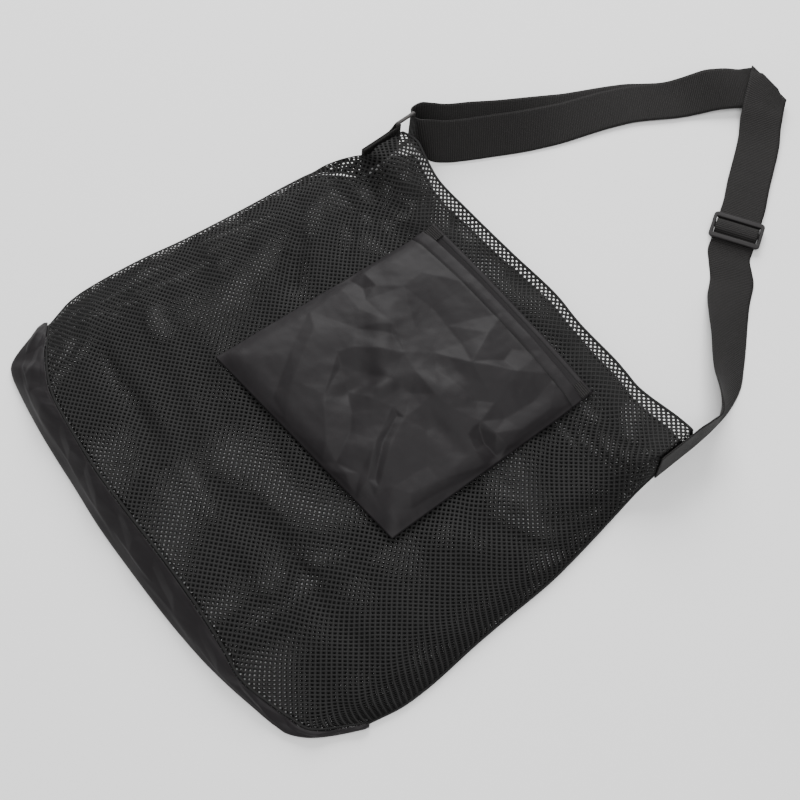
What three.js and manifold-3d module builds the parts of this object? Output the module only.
// Harvest bag lying on a floor: a mesh sack with a boxed nylon base, a nylon pocket on its front,
// and one webbing shoulder strap with a tri-glide slider, hung from a ring at the left mouth corner.
// Millimetres, +Z up. +Y runs from the base towards the mouth and the strap, +X from left to right.
import * as THREE from 'three';
import { mergeVertices } from 'three/addons/utils/BufferGeometryUtils.js';
import Module from 'manifold-3d';

// Sack
const MOUTH_WIDTH = 402;
const BODY_LENGTH = 422;
const BODY_LOFT = 20;
const LEFT_SLANT = 3.8;
const MOUTH_SLACK = 11;
const BACK_REACH = 1.5;
const FOLD_DEPTH = 5;
const MESH_WALL = 1.2;

// Base strip
const BASE_RISE = 28;
const BASE_UNDER = 13;
const PLEAT_DEPTH = 2.2;
const NYLON_WALL = 1;

// Pocket
const POCKET_WIDTH = 217;
const POCKET_DEPTH = 212;
const POCKET_DROP = 58;
const POCKET_LOFT = 10;
const POCKET_MOUTH_BOW = 4;
const POCKET_HEM_STEP = 12;
const CRUMPLE_DEPTH = 3.6;
const TAPE_LENGTH = 15;
const TAPE_WIDTH = 10;
const TAPE_THICKNESS = 1.2;

// Webbing, ring and slider
const WEBBING_WIDTH = 40;
const WEBBING_THICKNESS = 1.4;
const STRAP_REACH = 327;
const STRAP_END_LENGTH = 40;
const FOLD_LIFT = 13;
const TAB_LENGTH = 50;
const RING_BAR = 3;
const RING_SPAN = 22;
const RING_OUT = 1.4;
const SLIDER_LENGTH = 28.5;
const SLIDER_BAR = 5;
const SLIDER_SIDE_BAR = 3.4;
const SLIDER_THICKNESS = 3;
const SLIDER_MIDDLE_BAR = 5;
const SLIDER_MIDDLE_THICKNESS = 2;
const SLIDER_CORNER = 4;

// Gap between pieces that touch, and room beside webbing that runs through a frame
const CLEAR = 0.3;
const BACK_SEAM_GAP = 1.2;
const BASE_SEAM_GAP = 1;
const WEBBING_PLAY = 0.8;

// Share of the body's length at which the raised mouth has sunk to the body's loft, at each side
const LEFT_FADE = 0.23;
const RIGHT_FADE = 0.24;

const HALF_MOUTH = MOUTH_WIDTH / 2;
const LAYER = WEBBING_THICKNESS + CLEAR;
const SHOULDER_SHARE = 4 / 34;

// Side seams from the mouth (0) to the base (1), as shares of half the mouth's width
const SIDE_ROWS = [
  { along: 0.0, left: -1.0, right: 1.0 },
  { along: 0.08, left: -1.0, right: 1.0 },
  { along: 0.11, left: -1.0, right: 1.0 },
  { along: 0.138, left: -1.07, right: 1.004 },
  { along: 0.175, left: -1.127, right: 1.01 },
  { along: 0.26, left: -1.165, right: 1.032 },
  { along: 0.37, left: -1.184, right: 1.059 },
  { along: 0.48, left: -1.204, right: 1.079 },
  { along: 0.6, left: -1.231, right: 1.082 },
  { along: 0.71, left: -1.264, right: 1.087 },
  { along: 0.83, left: -1.286, right: 1.1 },
  { along: 0.92, left: -1.284, right: 1.095 },
  { along: 1.0, left: -1.238, right: 1.063 },
];

// Mouth edge of the front panel from left (0) to right (1): how far it dips, as a share of the slack,
// and its height, as a share of the webbing's width
const MOUTH_ROWS = [
  { at: 0.0, dip: 1.6, height: 0.96 },
  { at: 0.03, dip: 0.2, height: 0.95 },
  { at: 0.066, dip: 0.25, height: 0.925 },
  { at: 0.169, dip: 1.15, height: 0.83 },
  { at: 0.273, dip: 1.04, height: 0.75 },
  { at: 0.375, dip: 0.93, height: 0.7 },
  { at: 0.502, dip: 0.64, height: 0.65 },
  { at: 0.569, dip: 0.63, height: 0.65 },
  { at: 0.645, dip: 0.96, height: 0.67 },
  { at: 0.775, dip: 1.05, height: 0.7 },
  { at: 0.845, dip: 1.32, height: 0.725 },
  { at: 0.896, dip: 1.15, height: 0.775 },
  { at: 0.945, dip: 0.95, height: 0.85 },
  { at: 1.0, dip: 0.95, height: 0.96 },
];

// Base strip from the left side seam (0) round both corners to the right side seam (1). down and rise
// place the seam with the front panel, as shares of the body's length and of the base's rise;
// creaseAcross and creaseDown place the outer crease, as shares of half the mouth and the body's length.
const BASE_ROWS = [
  { at: 0.0, down: 0.881, rise: 0.2, creaseAcross: -1.261, creaseDown: 0.89 },
  { at: 0.035, down: 0.906, rise: 0.43, creaseAcross: -1.236, creaseDown: 0.926 },
  { at: 0.072, down: 0.932, rise: 0.64, creaseAcross: -1.202, creaseDown: 0.969 },
  { at: 0.109, down: 0.952, rise: 0.79, creaseAcross: -1.158, creaseDown: 1.001 },
  { at: 0.153, down: 0.972, rise: 0.89, creaseAcross: -1.045, creaseDown: 1.017 },
  { at: 0.257, down: 0.989, rise: 0.96, creaseAcross: -0.784, creaseDown: 1.035 },
  { at: 0.353, down: 0.998, rise: 1.0, creaseAcross: -0.51, creaseDown: 1.046 },
  { at: 0.452, down: 1.0, rise: 1.0, creaseAcross: -0.286, creaseDown: 1.055 },
  { at: 0.56, down: 1.0, rise: 0.96, creaseAcross: -0.025, creaseDown: 1.058 },
  { at: 0.671, down: 1.005, rise: 0.86, creaseAcross: 0.226, creaseDown: 1.058 },
  { at: 0.753, down: 1.013, rise: 0.71, creaseAcross: 0.428, creaseDown: 1.053 },
  { at: 0.809, down: 1.021, rise: 0.57, creaseAcross: 0.57, creaseDown: 1.045 },
  { at: 0.855, down: 1.01, rise: 0.46, creaseAcross: 0.7, creaseDown: 1.034 },
  { at: 0.925, down: 0.986, rise: 0.34, creaseAcross: 0.872, creaseDown: 1.015 },
  { at: 0.949, down: 0.973, rise: 0.29, creaseAcross: 0.944, creaseDown: 0.994 },
  { at: 0.975, down: 0.93, rise: 0.24, creaseAcross: 1.021, creaseDown: 0.94 },
  { at: 1.0, down: 0.88, rise: 0.2, creaseAcross: 1.075, creaseDown: 0.885 },
];

// Rounded shoulder at each side: its width as a share of half the mouth's width, narrow where upright
// webbing holds the side up as a wall, and how much of the left wall's slant it has
const SHOULDER_ROWS = [
  { along: 0.0, left: 0.02, right: 0.02, slant: 1 },
  { along: 0.11, left: 0.02, right: 0.02, slant: 1 },
  { along: 0.17, left: 0.14, right: 0.1, slant: 0.2 },
  { along: 0.3, left: 0.3, right: 0.26, slant: 0 },
  { along: 0.75, left: 0.3, right: 0.26, slant: 0 },
  { along: 0.9, left: 0.14, right: 0.12, slant: 0 },
  { along: 1.0, left: 0.03, right: 0.03, slant: 0 },
];

// Folds and bulges of the front panel. across and down place the middle, as shares of half the mouth
// and of the body's length; run and spread are shares of the body's length; rise is a share of the depth.
const MESH_FOLDS = [
  { across: 0.318, down: 0.808, run: 0.25, spread: 0.024, turn: 3, rise: -1.0 },
  { across: -0.612, down: 0.865, run: 0.17, spread: 0.022, turn: -8, rise: -0.8 },
  { across: 0.254, down: 0.915, run: 0.19, spread: 0.02, turn: -3, rise: -0.6 },
  { across: -0.766, down: 0.133, run: 0.094, spread: 0.02, turn: -3, rise: -1.2 },
  { across: -0.672, down: 0.088, run: 0.077, spread: 0.02, turn: -29, rise: -1.0 },
  { across: -0.816, down: 0.37, run: 0.13, spread: 0.022, turn: -43, rise: -1.0 },
  { across: -0.746, down: 0.254, run: 0.086, spread: 0.019, turn: -40, rise: -0.6 },
  { across: 0.851, down: 0.438, run: 0.078, spread: 0.02, turn: 19, rise: -1.0 },
  { across: 0.886, down: 0.36, run: 0.079, spread: 0.02, turn: 131, rise: -0.6 },
  { across: 0.811, down: 0.166, run: 0.053, spread: 0.02, turn: -18, rise: -0.6 },
  { across: -0.418, down: 0.059, run: 0.046, spread: 0.018, turn: -16, rise: -0.8 },
  { across: -0.065, down: 0.047, run: 0.044, spread: 0.018, turn: -8, rise: -0.8 },
  { across: 0.353, down: 0.083, run: 0.039, spread: 0.018, turn: 4, rise: -0.8 },
  { across: -0.871, down: 0.72, run: 0.059, spread: 0.02, turn: -22, rise: 0.7 },
  { across: 0.716, down: 0.536, run: 0.05, spread: 0.04, turn: 23, rise: 0.9 },
  { across: 0.756, down: 0.412, run: 0.057, spread: 0.026, turn: 3, rise: 0.7 },
  { across: 0.871, down: 0.294, run: 0.056, spread: 0.03, turn: 62, rise: 0.7 },
  { across: 0.861, down: 0.164, run: 0.065, spread: 0.026, turn: 175, rise: 0.5 },
  { across: -1.05, down: 0.562, run: 0.06, spread: 0.024, turn: -50, rise: -0.7 },
];

// Pleats and corner facets of the base strip: at and width run along it (0 to 1), over across it
// from the front seam (0) to the crease (1)
const BASE_PLEATS = [
  { at: 0.085, width: 0.02, over: 0.5, reach: 0.5, rise: -1.6 },
  { at: 0.125, width: 0.016, over: 0.45, reach: 0.5, rise: -1.2 },
  { at: 0.2, width: 0.03, over: 0.5, reach: 0.45, rise: 0.8 },
  { at: 0.3, width: 0.024, over: 0.55, reach: 0.4, rise: -0.8 },
  { at: 0.38, width: 0.028, over: 0.5, reach: 0.45, rise: 0.7 },
  { at: 0.46, width: 0.02, over: 0.5, reach: 0.4, rise: -0.7 },
  { at: 0.55, width: 0.026, over: 0.5, reach: 0.45, rise: 0.7 },
  { at: 0.64, width: 0.02, over: 0.5, reach: 0.4, rise: -0.7 },
  { at: 0.72, width: 0.026, over: 0.5, reach: 0.45, rise: 0.6 },
];

// Pocket outline: corners of the front wall, as shares of the pocket's half width and of its depth
const POCKET_CORNERS = {
  mouthLeft: { across: -0.94, down: 0.0 },
  mouthRight: { across: 1.07, down: 0.008 },
  baseRight: { across: 1.02, down: 0.977 },
  baseLeft: { across: -1.083, down: 1.045 },
};

// Creases of the pocket's front wall: across and down run from 0 to 1 over the wall, run and spread are
// shares of its depth, turn is in degrees from the mouth's direction, rise is a share of the depth
const POCKET_CREASES = [
  { across: 0.45, down: 0.32, run: 0.2, spread: 0.09, turn: -20, rise: -1.0 },
  { across: 0.62, down: 0.44, run: 0.14, spread: 0.05, turn: 25, rise: 0.8 },
  { across: 0.38, down: 0.5, run: 0.2, spread: 0.045, turn: -35, rise: 0.9 },
  { across: 0.22, down: 0.36, run: 0.16, spread: 0.06, turn: -48, rise: 0.6 },
  { across: 0.52, down: 0.66, run: 0.14, spread: 0.035, turn: -80, rise: 0.9 },
  { across: 0.43, down: 0.68, run: 0.12, spread: 0.05, turn: -75, rise: -0.8 },
  { across: 0.32, down: 0.72, run: 0.14, spread: 0.05, turn: -60, rise: -0.7 },
  { across: 0.82, down: 0.55, run: 0.14, spread: 0.035, turn: 5, rise: -0.8 },
  { across: 0.1, down: 0.3, run: 0.09, spread: 0.035, turn: -10, rise: -0.8 },
  { across: 0.72, down: 0.22, run: 0.16, spread: 0.06, turn: 10, rise: 0.5 },
  { across: 0.68, down: 0.84, run: 0.12, spread: 0.06, turn: 40, rise: 0.7 },
  { across: 0.84, down: 0.93, run: 0.08, spread: 0.035, turn: -40, rise: -0.7 },
  { across: 0.14, down: 0.76, run: 0.16, spread: 0.07, turn: -85, rise: 0.5 },
];

// Strap, first run: from the slider up to the far fold. across is a share of half the mouth, out a share
// of the strap's reach; face is the plan direction across the webbing to its inner edge; lean lifts that
// edge; layers is the number of webbing layers beneath.
const RISING_ROWS = [
  { across: 0.1965, out: 0.694, face: 213, lean: 0, layers: 0 },
  { across: 0.0935, out: 0.79, face: 213, lean: 0, layers: 0 },
  { across: 0.047, out: 0.829, face: 213, lean: 0, layers: 0.4 },
  { across: -0.005, out: 0.864, face: 214, lean: 0, layers: 1.4 },
  { across: -0.038, out: 0.89, face: 215, lean: 0, layers: 2.15 },
];

// Second run: from the fold down to the ring, its inner edge leaning up
const FRONT_ROWS = [
  { across: -0.287, out: 0.828, face: 152, lean: 11, layers: 1.15 },
  { across: -0.389, out: 0.717, face: 150, lean: 8, layers: 1.2 },
  { across: -0.486, out: 0.623, face: 147, lean: 7, layers: 1.1 },
  { across: -0.553, out: 0.521, face: 147, lean: 12, layers: 0.8 },
  { across: -0.607, out: 0.415, face: 146, lean: 18, layers: 0.5 },
  { across: -0.676, out: 0.3, face: 145, lean: 32, layers: 0.2 },
  { across: -0.742, out: 0.217, face: 145, lean: 38, layers: 0.2 },
  { across: -0.81, out: 0.14, face: 144, lean: 39, layers: 0.3 },
  { across: -0.857, out: 0.09, face: 143, lean: 42, layers: 0.4 },
  { across: -0.9, out: 0.052, face: 138, lean: 53, layers: 1 },
  { across: -0.947, out: 0.03, face: 122, lean: 82, layers: 2 },
];

// Third run: from the ring back up to the fold, behind and then beneath the second
const REAR_ROWS = [
  { across: -1.027, out: 0.046, face: 154, lean: 86, layers: 1.2 },
  { across: -1.008, out: 0.075, face: 152, lean: 68, layers: 0.6 },
  { across: -0.973, out: 0.1, face: 149, lean: 51, layers: 0.2 },
  { across: -0.929, out: 0.135, face: 146, lean: 40, layers: 0 },
  { across: -0.877, out: 0.19, face: 145, lean: 36, layers: 0 },
  { across: -0.803, out: 0.257, face: 145, lean: 35, layers: 0 },
  { across: -0.734, out: 0.333, face: 146, lean: 29, layers: 0 },
  { across: -0.65, out: 0.441, face: 146, lean: 16, layers: 0 },
  { across: -0.58, out: 0.537, face: 147, lean: 11, layers: 0 },
  { across: -0.51, out: 0.63, face: 148, lean: 5, layers: 0 },
  { across: -0.395, out: 0.72, face: 150, lean: 7, layers: 0 },
  { across: -0.2935, out: 0.831, face: 152, lean: 11, layers: 0 },
];

// Last run: from the slider to the right mouth corner, turning up on edge
const CLOSING_ROWS = [
  { across: 0.527, out: 0.4235, face: 220, lean: 0, layers: 0 },
  { across: 0.591, out: 0.369, face: 221, lean: 9, layers: 0 },
  { across: 0.67, out: 0.316, face: 224, lean: 22, layers: 0 },
  { across: 0.746, out: 0.269, face: 225, lean: 31, layers: 0 },
  { across: 0.817, out: 0.222, face: 224, lean: 37, layers: 0 },
  { across: 0.886, out: 0.175, face: 219, lean: 46, layers: 0 },
  { across: 0.951, out: 0.12, face: 211, lean: 68, layers: 0 },
  { across: 1.004, out: 0.064, face: 203, lean: 92, layers: 0 },
];

const FOLD_PLACE = { across: -0.143, out: 0.98, incoming: 62.5, leaving: -55 };
const SLIDER_PLACE = { across: 0.3493, out: 0.5486, heading: -59.3 };

// Smooth curve through one column of a table
function column(rows, key, name, at) {
  const last = rows.length - 1;
  if (at <= rows[0][key]) return rows[0][name];
  if (at >= rows[last][key]) return rows[last][name];
  let i = 0;
  while (rows[i + 1][key] < at) i += 1;
  const slope = (a, b) => (rows[b][name] - rows[a][name]) / (rows[b][key] - rows[a][key]);
  const width = rows[i + 1][key] - rows[i][key];
  const into = slope(Math.max(i - 1, 0), i + 1) * width;
  const outOf = slope(i, Math.min(i + 2, last)) * width;
  const t = (at - rows[i][key]) / width;
  const square = t * t;
  const cube = square * t;
  return (2 * cube - 3 * square + 1) * rows[i][name] + (cube - 2 * square + t) * into
    + (3 * square - 2 * cube) * rows[i + 1][name] + (cube - square) * outOf;
}

function mix(a, b, t) {
  return a + (b - a) * t;
}

function ramp(from, to, value) {
  const t = Math.min(Math.max((value - from) / (to - from), 0), 1);
  return t * t * (3 - 2 * t);
}

// Sum of ridges and hollows at a place, each a soft bump along its own line
function ridges(rows, place) {
  let sum = 0;
  for (const row of rows) {
    const { dx, dy, run, spread, turn, rise } = place(row);
    const c = Math.cos(THREE.MathUtils.degToRad(turn));
    const s = Math.sin(THREE.MathUtils.degToRad(turn));
    const along = (dx * c + dy * s) / run;
    const beside = (dy * c - dx * s) / spread;
    sum += rise * Math.exp(-(along ** 4) - beside ** 2);
  }
  return sum;
}

// Closed body from points and faces, turned to face outwards
function closedBody(points, faces) {
  let volume = 0;
  for (const [a, b, c] of faces) {
    volume += points[a].dot(new THREE.Vector3().crossVectors(points[b], points[c])) / 6;
  }
  const outward = volume > 0 ? faces : faces.map(([a, b, c]) => [a, c, b]);
  const geometry = new THREE.BufferGeometry();
  const numbers = points.flatMap((p) => [p.x, p.y, p.z]);
  geometry.setAttribute('position', new THREE.Float32BufferAttribute(numbers, 3));
  geometry.setIndex(outward.flat());
  geometry.computeVertexNormals();
  return geometry;
}

// Wall of one thickness about a grid of mid-surface points
function wallBody(grid, thickness) {
  const rows = grid.length;
  const cols = grid[0].length;
  const outer = [];
  const inner = [];
  for (let i = 0; i < rows; i += 1) {
    for (let j = 0; j < cols; j += 1) {
      const below = grid[Math.min(i + 1, rows - 1)][j];
      const above = grid[Math.max(i - 1, 0)][j];
      const beyond = grid[i][Math.min(j + 1, cols - 1)];
      const before = grid[i][Math.max(j - 1, 0)];
      const down = new THREE.Vector3().subVectors(below, above);
      const over = new THREE.Vector3().subVectors(beyond, before);
      const normal = over.cross(down).normalize().multiplyScalar(thickness / 2);
      outer.push(new THREE.Vector3().subVectors(grid[i][j], normal));
      inner.push(new THREE.Vector3().addVectors(grid[i][j], normal));
    }
  }
  const shift = outer.length;
  const faces = [];
  const quad = (a, b, c, d) => faces.push([a, b, c], [a, c, d]);
  for (let i = 0; i < rows - 1; i += 1) {
    for (let j = 0; j < cols - 1; j += 1) {
      const a = i * cols + j;
      quad(a, a + 1, a + cols + 1, a + cols);
      quad(a + shift, a + cols + shift, a + cols + 1 + shift, a + 1 + shift);
    }
  }
  const rim = [];
  for (let j = 0; j < cols - 1; j += 1) rim.push(j);
  for (let i = 0; i < rows - 1; i += 1) rim.push(i * cols + cols - 1);
  for (let j = cols - 1; j > 0; j -= 1) rim.push((rows - 1) * cols + j);
  for (let i = rows - 1; i > 0; i -= 1) rim.push(i * cols);
  rim.forEach((a, k) => {
    const b = rim[(k + 1) % rim.length];
    quad(a, a + shift, b + shift, b);
  });
  return closedBody(outer.concat(inner), faces);
}

function grid(rows, cols, point) {
  const lines = [];
  for (let i = 0; i <= rows; i += 1) {
    const line = [];
    for (let j = 0; j <= cols; j += 1) line.push(point(j / cols, i / rows));
    lines.push(line);
  }
  return lines;
}

// Sack outline in plan: u runs from left to right, v from the mouth to the base seam
function sackX(u, v) {
  return HALF_MOUTH * mix(column(SIDE_ROWS, 'along', 'left', v), column(SIDE_ROWS, 'along', 'right', v), u);
}

function mouthY(u) {
  return -MOUTH_SLACK * column(MOUTH_ROWS, 'at', 'dip', u);
}

function seamY(u) {
  return -BODY_LENGTH * column(BASE_ROWS, 'at', 'down', u);
}

function seamRise(u) {
  return BASE_RISE * column(BASE_ROWS, 'at', 'rise', u);
}

function pocketPlace(s, t) {
  const { mouthLeft, mouthRight, baseRight, baseLeft } = POCKET_CORNERS;
  const place = (name) => mix(
    mix(mouthLeft[name], mouthRight[name], s),
    mix(baseLeft[name], baseRight[name], s),
    t,
  );
  const bow = POCKET_MOUTH_BOW * 4 * s * (1 - s) * Math.max(0, 1 - 2 * Math.max(t, 0));
  return { x: place('across') * POCKET_WIDTH / 2, y: bow - POCKET_DROP - place('down') * POCKET_DEPTH };
}

// Where the pocket lies the front panel is smooth
function besidePocket(x, y) {
  const edge = 16;
  const overX = ramp(POCKET_WIDTH * 0.53, POCKET_WIDTH * 0.53 + edge, Math.abs(x));
  const below = ramp(POCKET_DROP + POCKET_DEPTH, POCKET_DROP + POCKET_DEPTH + edge, -y);
  const above = 1 - ramp(POCKET_DROP - POCKET_HEM_STEP - edge, POCKET_DROP - POCKET_HEM_STEP, -y);
  return Math.max(overX, below, above);
}

// Place across the front panel: its x, its share of the panel's width and how far it has risen from the
// side seam, for s from 0 (left) to 1 (right)
function sackSection(s, v) {
  const left = sackX(0, v);
  const right = sackX(1, v);
  const near = HALF_MOUTH * column(SHOULDER_ROWS, 'along', 'left', v);
  const far = HALF_MOUTH * column(SHOULDER_ROWS, 'along', 'right', v);
  const slant = LEFT_SLANT * column(SHOULDER_ROWS, 'along', 'slant', v);
  const out = Math.min(Math.min(s, 1 - s) / SHOULDER_SHARE, 1) * Math.PI / 2;
  const rise = Math.sin(out);
  let x = mix(left + near + slant, right - far, (s - SHOULDER_SHARE) / (1 - 2 * SHOULDER_SHARE));
  if (s < SHOULDER_SHARE) x = left + near * (1 - Math.cos(out)) + slant * rise;
  if (1 - s < SHOULDER_SHARE) x = right - far * (1 - Math.cos(out));
  return { x, u: (x - left) / (right - left), rise };
}

// Front panel's mid-surface
function frontPoint(s, v) {
  const { x, u, rise } = sackSection(s, v);
  const y = mix(mouthY(u), seamY(u), v);
  const mouthHeight = WEBBING_WIDTH * column(MOUTH_ROWS, 'at', 'height', u);
  const side = Math.abs(2 * u - 1) ** 3;
  const fadeEnd = mix(0.17, u < 0.5 ? LEFT_FADE : RIGHT_FADE, side);
  const middle = mix(mouthHeight, BODY_LOFT, ramp(0.12 * side, fadeEnd, v));
  const crown = mix(middle, seamRise(u), ramp(0.66, 1, v));
  const seamHeight = MESH_WALL + 2 * CLEAR;
  const folds = ridges(MESH_FOLDS, (row) => ({
    dx: x - row.across * HALF_MOUTH,
    dy: y + row.down * BODY_LENGTH,
    run: row.run * BODY_LENGTH,
    spread: row.spread * BODY_LENGTH,
    turn: row.turn,
    rise: row.rise * FOLD_DEPTH,
  }));
  const calm = besidePocket(x, y) * rise ** 3 * (1 - ramp(0.92, 1, v));
  return new THREE.Vector3(x, y, seamHeight + (crown - seamHeight) * rise + folds * calm);
}

// Height of the front panel's mid-surface above a place on the floor
function frontHeight(x, y) {
  let s = 0.5;
  let v = 0.5;
  for (let step = 0; step < 16; step += 1) {
    const p = frontPoint(s, v);
    s += (x - p.x) / (2.2 * HALF_MOUTH);
    v += (p.y - y) / BODY_LENGTH;
  }
  return frontPoint(s, v).z;
}

function meshFront() {
  return wallBody(grid(29, 34, frontPoint), MESH_WALL);
}

function baseCrease(at) {
  const x = HALF_MOUTH * column(BASE_ROWS, 'at', 'creaseAcross', at);
  return new THREE.Vector3(x, -BODY_LENGTH * column(BASE_ROWS, 'at', 'creaseDown', at), 0);
}

// Plan direction from the front seam to the outer crease
function baseOutward(at) {
  return baseCrease(at).sub(new THREE.Vector3(sackX(at, 1), seamY(at), 0)).normalize();
}

// Point of the base strip: at runs along it, over from the front seam (0) by the crease (0.65) to the
// back seam (1)
function basePoint(at, over) {
  const seam = new THREE.Vector3(sackX(at, 1), seamY(at), seamRise(at));
  const crease = baseCrease(at).setZ(Math.min(BASE_RISE * 0.13, seam.z * 0.5));
  const outward = baseOutward(at);
  const reach = Math.hypot(crease.x - seam.x, crease.y - seam.y);
  const start = seam.clone().addScaledVector(outward, BASE_SEAM_GAP + NYLON_WALL / 2);
  const floor = NYLON_WALL / 2;
  const under = Math.min(BASE_UNDER, reach * 0.7);
  const back = new THREE.Vector3(crease.x, crease.y, floor).addScaledVector(outward, -under);
  const turnBack = Math.min(1.6, under * 0.3);
  const turn = new THREE.Vector3(crease.x, crease.y, floor).addScaledVector(outward, -turnBack);
  if (over > 0.65) {
    const t = (over - 0.65) / 0.35;
    if (t < 0.4) return new THREE.Vector3().lerpVectors(crease, turn, t / 0.4);
    return new THREE.Vector3().lerpVectors(turn, back, (t - 0.4) / 0.6);
  }
  const t = over / 0.65;
  const point = new THREE.Vector3().lerpVectors(start, crease, t);
  const bulge = Math.sin(Math.PI * t) * reach * 0.1;
  const pleats = ridges(BASE_PLEATS, (row) => ({
    dx: t - row.over,
    dy: at - row.at,
    run: row.reach,
    spread: row.width,
    turn: 0,
    rise: row.rise * PLEAT_DEPTH,
  }));
  point.addScaledVector(outward, (bulge + pleats * Math.sin(Math.PI * t)) * 0.6);
  point.z += (bulge + pleats * Math.sin(Math.PI * t)) * 0.8;
  return point;
}

function basePanel() {
  const stops = [0, 0.13, 0.26, 0.39, 0.52, 0.65, 0.79, 1];
  const lines = [];
  for (const over of stops) {
    const line = [];
    for (let j = 0; j <= 46; j += 1) line.push(basePoint(j / 46, over));
    lines.push(line);
  }
  return wallBody(lines, NYLON_WALL);
}

// Back panel: flat on the floor, from the base strip's back seam to just past the front panel's mouth edge
function meshBack() {
  const point = (u, v) => {
    const seam = basePoint(u, 1).addScaledVector(baseOutward(u), -BACK_SEAM_GAP);
    const shift = seam.x - sackX(u, 1);
    const x = sackX(u, v) + shift * ramp(0.5, 1, v);
    const y = mix(mouthY(u) + BACK_REACH, seam.y, v);
    return new THREE.Vector3(x, y, MESH_WALL / 2);
  };
  return wallBody(grid(10, 26, point), MESH_WALL);
}

// Pocket's inner wall lies on the front panel, its base lifted off it
function pocketBackPoint(s, t) {
  const { x, y } = pocketPlace(s, t);
  const seat = MESH_WALL / 2 + 2 * CLEAR + NYLON_WALL / 2;
  return new THREE.Vector3(x, y, frontHeight(x, y) + seat);
}

function pocketFrontPoint(s, t) {
  const base = pocketBackPoint(s, t);
  const sewn = 2 * Math.min(s, 1 - s, 1 - t);
  const open = Math.min(1, 1.15 * Math.max(sewn, 0) ** 0.35);
  const mouth = mix(0.85, 1, ramp(0, 0.25, t));
  const creases = ridges(POCKET_CREASES, (row) => ({
    dx: (s - row.across) * POCKET_WIDTH,
    dy: -(t - row.down) * POCKET_DEPTH,
    run: row.run * POCKET_DEPTH,
    spread: row.spread * POCKET_DEPTH,
    turn: row.turn,
    rise: row.rise * CRUMPLE_DEPTH,
  }));
  const loft = Math.max(0, POCKET_LOFT * mouth + creases) * open;
  base.z += NYLON_WALL + 1.5 * CLEAR + loft;
  return base;
}

function pocketFront() {
  return wallBody(grid(18, 18, pocketFrontPoint), NYLON_WALL);
}

function pocketBack() {
  const step = POCKET_HEM_STEP / POCKET_DEPTH;
  return wallBody(grid(12, 10, (s, t) => pocketBackPoint(s, mix(-step, 1, t))), NYLON_WALL);
}

// Short tape on one end of the inner wall's hem
function pocketTape(side) {
  const inner = TAPE_LENGTH / POCKET_WIDTH;
  const from = (CLEAR + TAPE_WIDTH) / POCKET_DEPTH;
  const to = CLEAR * 3 / POCKET_DEPTH;
  const point = (s, t) => {
    const along = side < 0 ? mix(0.004, inner, s) : mix(1 - inner, 0.996, s);
    const p = pocketBackPoint(along, -mix(from, to, t));
    p.z += NYLON_WALL / 2 + CLEAR + TAPE_THICKNESS / 2;
    return p;
  };
  return wallBody(grid(2, 4, point), TAPE_THICKNESS);
}

// One place on the webbing: middle of its width, direction across it to its inner edge, and half its
// length across, which is longer where the webbing runs at a slant to that direction
function section(x, y, z, face, lean, slant = 90) {
  const f = THREE.MathUtils.degToRad(face);
  const l = THREE.MathUtils.degToRad(lean);
  return {
    middle: new THREE.Vector3(x, y, z),
    across: new THREE.Vector3(Math.cos(l) * Math.cos(f), Math.cos(l) * Math.sin(f), Math.sin(l)),
    half: WEBBING_WIDTH / 2 / Math.abs(Math.sin(THREE.MathUtils.degToRad(slant))),
  };
}

function strapSection(row) {
  const lean = THREE.MathUtils.degToRad(row.lean);
  const lift = Math.sin(lean) * WEBBING_WIDTH / 2 + Math.cos(lean) * WEBBING_THICKNESS / 2;
  const z = lift + row.layers * LAYER;
  return section(row.across * HALF_MOUTH, row.out * STRAP_REACH, z, row.face, row.lean);
}

// Extra places between two, where they are far apart
function eased(sections, longest) {
  const out = [];
  for (let i = 0; i < sections.length - 1; i += 1) {
    const a = sections[Math.max(i - 1, 0)];
    const b = sections[i];
    const c = sections[i + 1];
    const d = sections[Math.min(i + 2, sections.length - 1)];
    const gap = b.middle.distanceTo(c.middle);
    const steps = Math.max(1, Math.round(gap / longest));
    const before = Math.min(1, gap / Math.max(a.middle.distanceTo(b.middle), 0.001));
    const after = Math.min(1, gap / Math.max(c.middle.distanceTo(d.middle), 0.001));
    for (let k = 0; k < steps; k += 1) {
      const t = k / steps;
      const place = (name) => {
        const into = new THREE.Vector3().subVectors(c[name], a[name]).multiplyScalar(0.5 * before);
        const leave = new THREE.Vector3().subVectors(d[name], b[name]).multiplyScalar(0.5 * after);
        return b[name].clone().multiplyScalar(2 * t ** 3 - 3 * t ** 2 + 1)
          .addScaledVector(into, t ** 3 - 2 * t ** 2 + t)
          .addScaledVector(c[name], 3 * t ** 2 - 2 * t ** 3)
          .addScaledVector(leave, t ** 3 - t ** 2);
      };
      const across = place('across').normalize();
      out.push({ middle: place('middle'), across, half: mix(b.half, c.half, t) });
    }
  }
  out.push(sections[sections.length - 1]);
  return out;
}

// The folded stack stands up from the floor towards its inner corner
function foldLift(x, y) {
  const near = ramp(0.72 * STRAP_REACH, 0.93 * STRAP_REACH, y);
  return FOLD_LIFT * near * ramp(-0.1 * HALF_MOUTH, 0.34 * HALF_MOUTH, -x);
}

// Webbing through a row of sections, none of it below the floor
function webbingBody(sections) {
  const lines = sections.map(({ middle, across, half }) => {
    const flat = WEBBING_THICKNESS / 2 * Math.sqrt(Math.max(1 - across.z ** 2, 0));
    const sunk = Math.max(half * Math.abs(across.z) + flat - middle.z, 0);
    return [-1, -1 / 3, 1 / 3, 1].map((k) => {
      const p = middle.clone().addScaledVector(across, k * half);
      p.z += foldLift(p.x, p.y) + sunk;
      return p;
    });
  });
  return wallBody(lines, WEBBING_THICKNESS);
}

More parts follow.
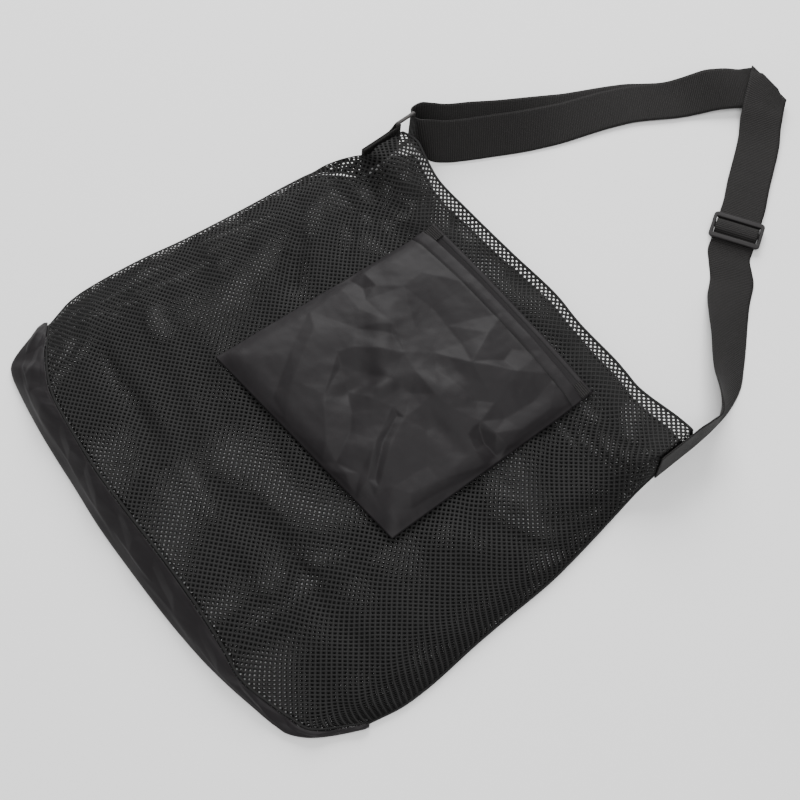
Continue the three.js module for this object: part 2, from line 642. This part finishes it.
// Half turn over the far fold: arriving on one layer, leaving on a higher one
function overFold(fromLayer, toLayer, reversed) {
  const { across, out, incoming, leaving } = FOLD_PLACE;
  const line = THREE.MathUtils.degToRad((incoming + leaving) / 2);
  const outward = new THREE.Vector3(-Math.sin(line), Math.cos(line), 0);
  const radius = (toLayer - fromLayer) * LAYER * 1.06 / 2;
  const middleZ = WEBBING_THICKNESS / 2 + (toLayer + fromLayer) * LAYER * 1.06 / 2;
  const centre = new THREE.Vector3(across * HALF_MOUTH, out * STRAP_REACH, middleZ);
  const face = THREE.MathUtils.radToDeg(line) + 180;
  const places = [];
  const approach = (heading, layer, faceAway) => {
    const h = THREE.MathUtils.degToRad(heading);
    const z = WEBBING_THICKNESS / 2 + layer * LAYER * 1.06;
    for (const far of [26, 13]) {
      const turned = mix(face, faceAway, far / 26);
      const x = centre.x - Math.cos(h) * far;
      const y = centre.y - Math.sin(h) * far;
      places.push(section(x, y, z, turned, 0, turned - heading));
    }
  };
  approach(incoming, fromLayer, incoming + 90);
  for (let k = 0; k <= 4; k += 1) {
    const angle = Math.PI * k / 4;
    const p = centre.clone().addScaledVector(outward, radius * Math.sin(angle));
    p.z -= radius * Math.cos(angle);
    places.push(section(p.x, p.y, p.z, face, 0, face - incoming));
  }
  const arrived = places.length;
  approach(leaving + 180, toLayer, leaving + 270);
  places.push(...places.splice(arrived).reverse());
  return reversed ? places.reverse() : places;
}

// Half turn round one upright bar of the ring
function roundBar(x, y, towards, from, to) {
  const radius = RING_BAR / 2 + CLEAR + WEBBING_THICKNESS / 2;
  const places = [];
  for (let k = 0; k <= 6; k += 1) {
    const angle = mix(from, to, k / 6);
    const px = x + radius * Math.cos(angle);
    const py = y + towards * radius * Math.sin(angle);
    places.push(section(px, py, RING_HEIGHT / 2, 0, 90 - SIDE_LEAN));
  }
  return places;
}

// Slider's own frame: distance along the strap, and height
const SLIDER_HEADING = THREE.MathUtils.degToRad(SLIDER_PLACE.heading);
const SLIDER_CENTRE = new THREE.Vector3(SLIDER_PLACE.across * HALF_MOUTH, SLIDER_PLACE.out * STRAP_REACH, 0);
const SLIDER_FLOOR = WEBBING_THICKNESS * 2 + CLEAR * 2.5;
const MIDDLE_BAR_TOP = SLIDER_FLOOR + SLIDER_MIDDLE_THICKNESS;
const MIDDLE_HALF = SLIDER_MIDDLE_BAR / 2;

function sliderSection(far, z) {
  const x = SLIDER_CENTRE.x + Math.cos(SLIDER_HEADING) * far;
  const y = SLIDER_CENTRE.y + Math.sin(SLIDER_HEADING) * far;
  return section(x, y, z, SLIDER_PLACE.heading - 90 + 360, 0);
}

// End of the webbing, sewn round the slider's middle bar
function barLoop() {
  const half = WEBBING_THICKNESS / 2;
  const off = CLEAR + half;
  const low = Math.max(SLIDER_FLOOR - off, half);
  return [
    sliderSection(-MIDDLE_HALF - off, MIDDLE_BAR_TOP - 0.3),
    sliderSection(-MIDDLE_HALF - off * 0.4, MIDDLE_BAR_TOP + off * 0.85),
    sliderSection(0, MIDDLE_BAR_TOP + off),
    sliderSection(MIDDLE_HALF + off * 0.4, MIDDLE_BAR_TOP + off * 0.85),
    sliderSection(MIDDLE_HALF + off, SLIDER_FLOOR + SLIDER_MIDDLE_THICKNESS / 2),
    sliderSection(MIDDLE_HALF + off * 0.4, low + 0.3),
    sliderSection(0, low),
    sliderSection(-MIDDLE_HALF - off, Math.min(low, half + 0.4)),
    sliderSection(-MIDDLE_HALF - off - 6, half),
    sliderSection(-SLIDER_LENGTH / 2 - 6, half),
    sliderSection(-SLIDER_LENGTH / 2 - 18, half),
  ];
}

// Second pass of the webbing: under one outer bar, over the middle bar, under the other outer bar
function overSlider() {
  const half = WEBBING_THICKNESS / 2;
  const upper = half + LAYER;
  const top = MIDDLE_BAR_TOP + CLEAR + half + LAYER;
  const inner = SLIDER_LENGTH / 2 - SLIDER_BAR;
  return [
    sliderSection(-SLIDER_LENGTH / 2 - 18, upper),
    sliderSection(-SLIDER_LENGTH / 2 - 6, upper),
    sliderSection(-inner - 0.6, upper),
    sliderSection(-inner + 2.2, upper + 1.6),
    sliderSection(-MIDDLE_HALF - LAYER * 1.6, top - 1),
    sliderSection(-MIDDLE_HALF * 0.5, top),
    sliderSection(MIDDLE_HALF * 0.5, top),
    sliderSection(MIDDLE_HALF + LAYER * 1.8, top - 1),
    sliderSection(inner - 1.6, upper + 1.4),
    sliderSection(inner + 0.8, upper - 0.3),
    sliderSection(SLIDER_LENGTH / 2 + 2, half + 1),
    sliderSection(SLIDER_LENGTH / 2 + 12, half),
  ];
}

// The ring stands just outside the left wall of the mesh, behind the tab's inner leg
const TAB_INNER_X = -HALF_MOUTH - MESH_WALL / 2 - CLEAR - WEBBING_THICKNESS / 2;
const RING_X = TAB_INNER_X - LAYER / 2 + LEFT_SLANT / 2;
const SIDE_LEAN = THREE.MathUtils.radToDeg(Math.atan(LEFT_SLANT / WEBBING_WIDTH));
const RING_HEIGHT = WEBBING_WIDTH + 2 * WEBBING_PLAY + 2 * RING_BAR;
const FAR_BAR_Y = RING_OUT + RING_SPAN / 2 - RING_BAR / 2;
const NEAR_BAR_Y = RING_OUT - RING_SPAN / 2 + RING_BAR / 2;

// Strap end: upright against the right wall of the mesh
function strapEnd() {
  const x = HALF_MOUTH + MESH_WALL / 2 + CLEAR + WEBBING_THICKNESS / 2;
  const z = WEBBING_WIDTH / 2 + CLEAR;
  const start = mouthY(1);
  const shares = [0.16, -0.1, -0.4, -0.7, -1];
  return shares.map((share) => section(x, start + share * STRAP_END_LENGTH, z, 180, 90));
}

function shoulderStrap() {
  const places = [
    ...barLoop(),
    ...RISING_ROWS.map(strapSection),
    ...overFold(1, 2, true),
    ...FRONT_ROWS.map(strapSection),
    ...roundBar(RING_X, FAR_BAR_Y, -1, Math.PI * 0.38, Math.PI),
    ...REAR_ROWS.map(strapSection),
    ...overFold(0, 3, false),
    ...[...RISING_ROWS].reverse().map((row) => strapSection({ ...row, layers: row.layers + 1.2 })),
    ...overSlider(),
    ...CLOSING_ROWS.map(strapSection),
    ...strapEnd(),
  ];
  return webbingBody(eased(places, 16));
}

// Tab: folded round the ring's near bar, both legs laid along the outside of the mesh wall
function ringTab() {
  const end = -TAB_LENGTH;
  const leg = (x, y, lifted) => {
    const z = WEBBING_WIDTH / 2 + CLEAR + lifted;
    return section(x + LEFT_SLANT / 2, y, z, 0, 90 - SIDE_LEAN);
  };
  const inner = TAB_INNER_X;
  const outer = inner - LAYER;
  const legs = [
    leg(inner, end, 0),
    leg(inner, end / 2, 0),
    leg(inner, end * 0.34, 0.8),
    ...roundBar(RING_X, NEAR_BAR_Y, 1, 0, Math.PI),
    leg(outer, end * 0.34, 0.8),
    leg(outer, end / 2, 0),
    leg(outer, end, 0),
  ];
  return webbingBody(eased(legs, 12));
}

function roundedOutline(target, width, height, radius) {
  const x = width / 2;
  const y = height / 2;
  const quarter = Math.PI / 2;
  target.moveTo(x, -y + radius);
  target.absarc(x - radius, y - radius, radius, 0, quarter, false);
  target.absarc(-x + radius, y - radius, radius, quarter, 2 * quarter, false);
  target.absarc(-x + radius, -y + radius, radius, 2 * quarter, 3 * quarter, false);
  target.absarc(x - radius, -y + radius, radius, 3 * quarter, 4 * quarter, false);
  target.closePath();
  return target;
}

// Flat moulded frame with one window, standing from z 0 up to its thickness
function windowFrame(width, height, side, bar, thickness, corner) {
  const bevel = thickness * 0.2;
  const shape = roundedOutline(new THREE.Shape(), width - 2 * bevel, height - 2 * bevel, corner - bevel);
  const hole = new THREE.Path();
  const radius = corner * 0.15;
  roundedOutline(hole, width - 2 * side + 2 * bevel, height - 2 * bar + 2 * bevel, radius + bevel);
  shape.holes.push(hole);
  const geometry = new THREE.ExtrudeGeometry(shape, {
    depth: thickness - 2 * bevel,
    bevelEnabled: true,
    bevelThickness: bevel,
    bevelSize: bevel,
    bevelSegments: 1,
    curveSegments: 3,
  });
  geometry.translate(0, 0, bevel);
  geometry.deleteAttribute('normal');
  geometry.deleteAttribute('uv');
  return mergeVertices(geometry, 0.001);
}

const wasm = await Module();
wasm.setup();

function solid(geometry) {
  const merged = geometry.index ? geometry : mergeVertices(geometry, 0.001);
  return new wasm.Manifold(new wasm.Mesh({
    numProp: 3,
    vertProperties: new Float32Array(merged.attributes.position.array),
    triVerts: new Uint32Array(merged.index.array),
  }));
}

function fromSolid(body) {
  const mesh = body.getMesh();
  const geometry = new THREE.BufferGeometry();
  geometry.setAttribute('position', new THREE.BufferAttribute(new Float32Array(mesh.vertProperties), 3));
  geometry.setIndex(new THREE.BufferAttribute(new Uint32Array(mesh.triVerts), 1));
  geometry.computeVertexNormals();
  return geometry;
}

// Tri-glide: outer frame with a lower middle bar across its window
function slider() {
  const width = WEBBING_WIDTH + 2 * WEBBING_PLAY + 2 * SLIDER_SIDE_BAR;
  const frame = windowFrame(
    width,
    SLIDER_LENGTH,
    SLIDER_SIDE_BAR,
    SLIDER_BAR,
    SLIDER_THICKNESS,
    SLIDER_CORNER,
  );
  const bar = new THREE.BoxGeometry(width - SLIDER_SIDE_BAR, SLIDER_MIDDLE_BAR, SLIDER_MIDDLE_THICKNESS);
  bar.translate(0, 0, SLIDER_MIDDLE_THICKNESS / 2 + 0.1);
  bar.deleteAttribute('normal');
  bar.deleteAttribute('uv');
  return fromSolid(solid(frame).add(solid(mergeVertices(bar, 0.001))));
}

function ring() {
  const frame = windowFrame(RING_SPAN, RING_HEIGHT, RING_BAR, RING_BAR, RING_BAR, RING_BAR * 0.75);
  frame.translate(0, 0, -RING_BAR / 2);
  return frame;
}

const MESH_CLOTH = { color: 0x2b2b2b, roughness: 0.75, metalness: 0 };
const NYLON_CLOTH = { color: 0x2f2d2e, roughness: 0.5, metalness: 0 };
const WEBBING = { color: 0x2a2727, roughness: 0.85, metalness: 0 };
const SLIDER_PLASTIC = { color: 0x454243, roughness: 0.45, metalness: 0 };
const RING_PLASTIC = { color: 0x5f5c5a, roughness: 0.35, metalness: 0 };

const bag = new THREE.Group();

function add(name, geometry, finish, place) {
  const mesh = new THREE.Mesh(geometry, new THREE.MeshStandardMaterial(finish));
  mesh.name = name;
  if (place) place(mesh);
  bag.add(mesh);
  return mesh;
}

add('mesh_front', meshFront(), MESH_CLOTH);
add('mesh_back', meshBack(), MESH_CLOTH);
add('base_panel', basePanel(), NYLON_CLOTH);
add('pocket_front', pocketFront(), NYLON_CLOTH);
add('pocket_back', pocketBack(), NYLON_CLOTH);
add('pocket_tape_left', pocketTape(-1), WEBBING);
add('pocket_tape_right', pocketTape(1), WEBBING);
add('strap', shoulderStrap(), WEBBING);
add('ring_tab', ringTab(), WEBBING);
add('ring', ring(), RING_PLASTIC, (mesh) => {
  mesh.rotation.set(Math.PI / 2, THREE.MathUtils.degToRad(SIDE_LEAN), Math.PI / 2, 'YZX');
  mesh.position.set(RING_X, RING_OUT, RING_HEIGHT / 2 + CLEAR / 2);
});
add('slider', slider(), SLIDER_PLASTIC, (mesh) => {
  mesh.rotation.z = SLIDER_HEADING + Math.PI / 2;
  mesh.position.copy(SLIDER_CENTRE).setZ(SLIDER_FLOOR);
});

// Origin under the middle of the bag as it lies
const part = new THREE.Group();
part.add(bag);
bag.updateMatrixWorld(true);
const box = new THREE.Box3().setFromObject(bag);
bag.position.set(-(box.min.x + box.max.x) / 2, -(box.min.y + box.max.y) / 2, -box.min.z);

export default part;
